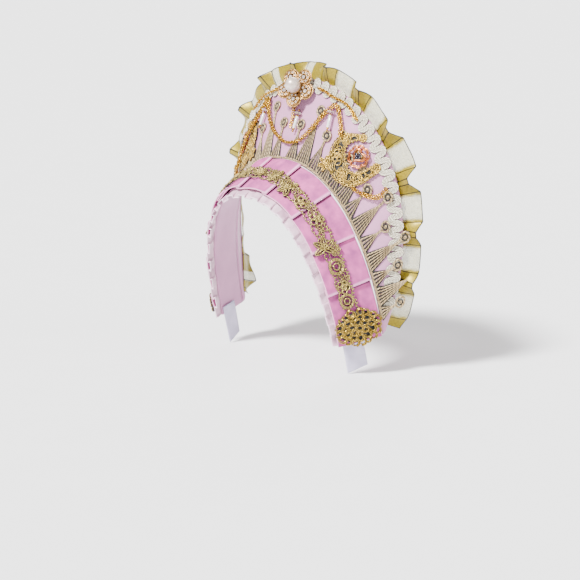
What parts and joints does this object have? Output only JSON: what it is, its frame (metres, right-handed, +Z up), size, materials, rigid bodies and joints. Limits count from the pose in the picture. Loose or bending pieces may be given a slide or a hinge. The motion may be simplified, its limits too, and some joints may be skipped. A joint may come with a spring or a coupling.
{
  "type": "french hood",
  "caption": "Arched headdress: pleated velvet band under an upright satin crescent with a gold ruffle, ray lace, chains, medallions and a pearl brooch.",
  "frame": {"origin": "the point under the middle of the crown where the headband is carried", "axes": "+Z up with the hood as worn, -Y the front, +X the wearer's left"},
  "size_m": [0.2432, 0.089, 0.2435],
  "materials": {
    "velvet_pink": "velvet with a short pile",
    "satin_pink": "satin",
    "satin_white": "satin",
    "organza_gold": "sheer metallic organza",
    "cord_cream": "twisted cord, matt",
    "thread_gold": "metallic thread",
    "gold": "polished",
    "rose_gold": "polished",
    "stone": "cut and polished",
    "pearl": "pearl lustre",
    "bugle_glass": "opaque white glass look"
  },
  "bodies": {
    "root": {"headband": "satin_pink", "halo_board": "satin_pink", "pleated_ribbon": "velvet_pink", "under_frill": "satin_white", "gold_ruffle": "organza_gold", "gimp_braid": "cord_cream", "ray_lace_right": "thread_gold", "ray_lace_left": "thread_gold", "flower_braid": "thread_gold", "plaque_left": "thread_gold", "plaque_right": "thread_gold", "medallion_left": "rose_gold", "medallion_right": "rose_gold", "stone_left": "stone", "stone_right": "stone", "brooch": "gold", "brooch_pearl": "pearl", "rosette_left": "thread_gold", "rosette_right": "thread_gold", "chain_swag": "gold", "chain_fall_left": "gold", "chain_fall_right": "gold", "chain_loop_left": "gold", "chain_loop_right": "gold", "chain_rim_left": "gold", "chain_rim_right": "gold", "drop_centre": "bugle_glass", "drop_left": "bugle_glass", "drop_right": "bugle_glass", "tie_left": "satin_white", "tie_right": "satin_white"}
  },
  "joints": []
}
